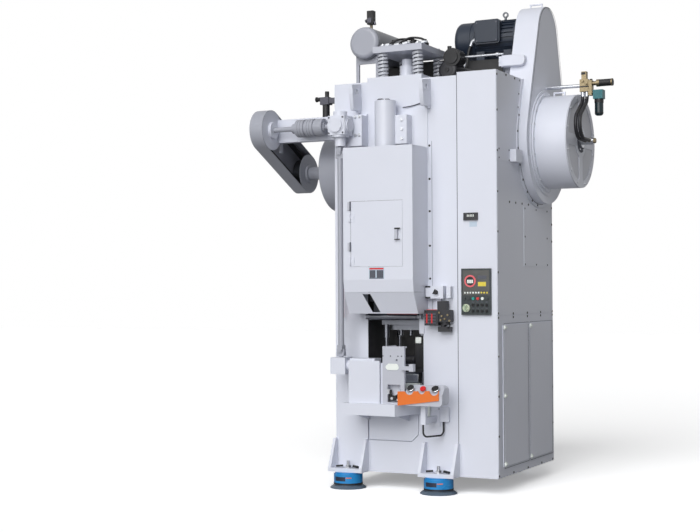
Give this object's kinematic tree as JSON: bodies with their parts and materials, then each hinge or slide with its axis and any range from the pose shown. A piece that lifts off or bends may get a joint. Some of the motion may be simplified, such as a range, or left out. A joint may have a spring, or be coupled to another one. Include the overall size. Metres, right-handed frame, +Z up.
{
  "type": "mechanical stamping press",
  "caption": "Straight-side mechanical stamping press with flywheel drive, side cabinet, guarded slide, transfer drive and vibration isolators.",
  "frame": {"origin": "on the floor, in the middle of the floor area that the whole machine covers", "axes": "+Z up, front (slide cover, die space and operator's controls) towards -Y, +X to the right of someone standing in front of it, where the flywheel drum is"},
  "size_m": [3.008, 2.148, 4.521],
  "materials": {
    "press_paint": "semi-gloss",
    "grey_paint": "semi-gloss",
    "slide_paint": "satin",
    "motor_paint": "satin",
    "orange_paint": "semi-gloss",
    "spring_paint": "satin",
    "isolator_blue": "gloss",
    "dark_steel": "satin",
    "plated_steel": "brushed",
    "slide_steel": "ground",
    "tool_steel": "ground",
    "polished_metal": "polished",
    "cast_wheel": "machined",
    "brass_fittings": "satin",
    "belt_rubber": "matte",
    "hose_rubber": "matte",
    "dark_plastic": "matte",
    "panel_black": "matte",
    "button_black": "gloss",
    "button_red": "gloss",
    "selector_cream": "matte"
  },
  "bodies": {
    "frame": {"frame": "press_paint", "bed_plate": "press_paint", "isolator_bases": "dark_steel", "isolator_drums": "isolator_blue", "levelling_bolts": "plated_steel", "cabinet": "press_paint", "side_panels": "press_paint", "junction_box": "press_paint", "belt_guard": "press_paint", "drum_cover": "press_paint", "drum_end_plate": "press_paint", "guard_fittings": "press_paint", "motor": "motor_paint", "terminal_box": "motor_paint", "motor_base": "press_paint", "drive_belts": "belt_rubber", "gibs": "slide_steel", "balance_cylinder": "press_paint", "bolster": "slide_steel", "lower_die": "tool_steel", "die_lamp": "polished_metal", "slide_cover": "press_paint", "cover_skirt": "press_paint", "knockout_springs": "spring_paint", "knockout_pins": "plated_steel", "air_tank": "grey_paint", "tank_stand": "grey_paint", "lube_pump": "dark_plastic", "rotary_union": "plated_steel", "air_units": "brass_fittings", "clutch_hoses": "hose_rubber", "side_drum": "press_paint", "transfer_arm": "press_paint", "bevel_gearboxes": "press_paint", "transfer_belt": "belt_rubber", "transfer_guard": "grey_paint", "transfer_table": "press_paint", "transfer_housing": "press_paint", "two_hand_bracket": "grey_paint", "two_hand_sheet": "orange_paint", "console_cable": "hose_rubber", "control_panel": "panel_black", "counter": "dark_plastic", "valve_group": "dark_plastic"},
    "main_shaft": {"main_shaft": "tool_steel"},
    "flywheel": {"flywheel": "cast_wheel"},
    "motor_pulley": {"motor_pulley": "cast_wheel"},
    "slide": {"slide": "slide_paint", "upper_die": "tool_steel", "balance_rod": "plated_steel"},
    "door": {"cover_door": "press_paint"},
    "door_handle": {"door_handle": "polished_metal"},
    "knockout": {"knockout_plate": "press_paint"},
    "cardan": {"cardan_shaft": "grey_paint"},
    "transfer_front": {"transfer_front_shaft": "grey_paint"},
    "transfer_rear": {"transfer_rear_shaft": "cast_wheel"},
    "palm_left": {"palm_left": "button_black"},
    "palm_right": {"palm_right": "button_black"},
    "stop_button": {"stop_button": "button_red"},
    "selector": {"selector_knob": "selector_cream"}
  },
  "joints": [
    {"name": "slide_stroke", "type": "slide", "parent": "frame", "child": "slide", "axis": [0, 0, 1], "range_m": [-0.15, 0]},
    {"name": "main_shaft_spin", "type": "hinge", "parent": "frame", "child": "main_shaft", "pos_m": [0.8, 0.452, 3.185], "axis": [1, 0, 0], "continuous": true},
    {"name": "flywheel_spin", "type": "hinge", "parent": "frame", "child": "flywheel", "pos_m": [0.73, 0.452, 3.185], "axis": [1, 0, 0], "continuous": true},
    {"name": "motor_spin", "type": "hinge", "parent": "frame", "child": "motor_pulley", "pos_m": [0.73, 0.482, 4.206], "axis": [1, 0, 0], "continuous": true},
    {"name": "transfer_rear_spin", "type": "hinge", "parent": "frame", "child": "transfer_rear", "pos_m": [-1.3, -0.158, 2.945], "axis": [1, 0, 0], "continuous": true},
    {"name": "transfer_front_spin", "type": "hinge", "parent": "frame", "child": "transfer_front", "pos_m": [-1.2, -0.878, 3.3], "axis": [1, 0, 0], "continuous": true},
    {"name": "cardan_spin", "type": "hinge", "parent": "frame", "child": "cardan", "pos_m": [-0.67, -0.878, 2.1], "axis": [0, 0, 1], "continuous": true},
    {"name": "door_hinge", "type": "hinge", "parent": "frame", "child": "door", "pos_m": [-0.514, -1.001, 2.3], "axis": [0, 0, 1], "range_deg": [-110, 0]},
    {"name": "door_handle_turn", "type": "hinge", "parent": "door", "child": "door_handle", "pos_m": [-0.054, -0.993, 2.3], "axis": [0, 1, 0], "range_deg": [0, 90]},
    {"name": "knockout_stroke", "type": "slide", "parent": "frame", "child": "knockout", "axis": [0, 0, 1], "range_m": [-0.02, 0], "stiffness_N_per_m": 120000, "springref_m": 0.03, "deforming": ["knockout_springs"]},
    {"name": "palm_left_press", "type": "slide", "parent": "frame", "child": "palm_left", "axis": [0, 0.7071, -0.7071], "range_m": [0, 0.008], "stiffness_N_per_m": 1200, "springref_m": -0.004},
    {"name": "palm_right_press", "type": "slide", "parent": "frame", "child": "palm_right", "axis": [0, 0.7071, -0.7071], "range_m": [0, 0.008], "stiffness_N_per_m": 1200, "springref_m": -0.004},
    {"name": "stop_press", "type": "slide", "parent": "frame", "child": "stop_button", "axis": [0, 0.7071, -0.7071], "range_m": [0, 0.006], "stiffness_N_per_m": 1500, "springref_m": -0.003},
    {"name": "selector_turn", "type": "hinge", "parent": "frame", "child": "selector", "pos_m": [0.477, -0.688, 1.642], "axis": [0, 1, 0], "range_deg": [-60, 60]}
  ],
  "couplings": [
    {"joint": "motor_spin", "follows": "flywheel_spin", "ratio": 3.5333},
    {"joint": "transfer_front_spin", "follows": "transfer_rear_spin", "ratio": 1},
    {"joint": "cardan_spin", "follows": "transfer_rear_spin", "ratio": -1}
  ]
}
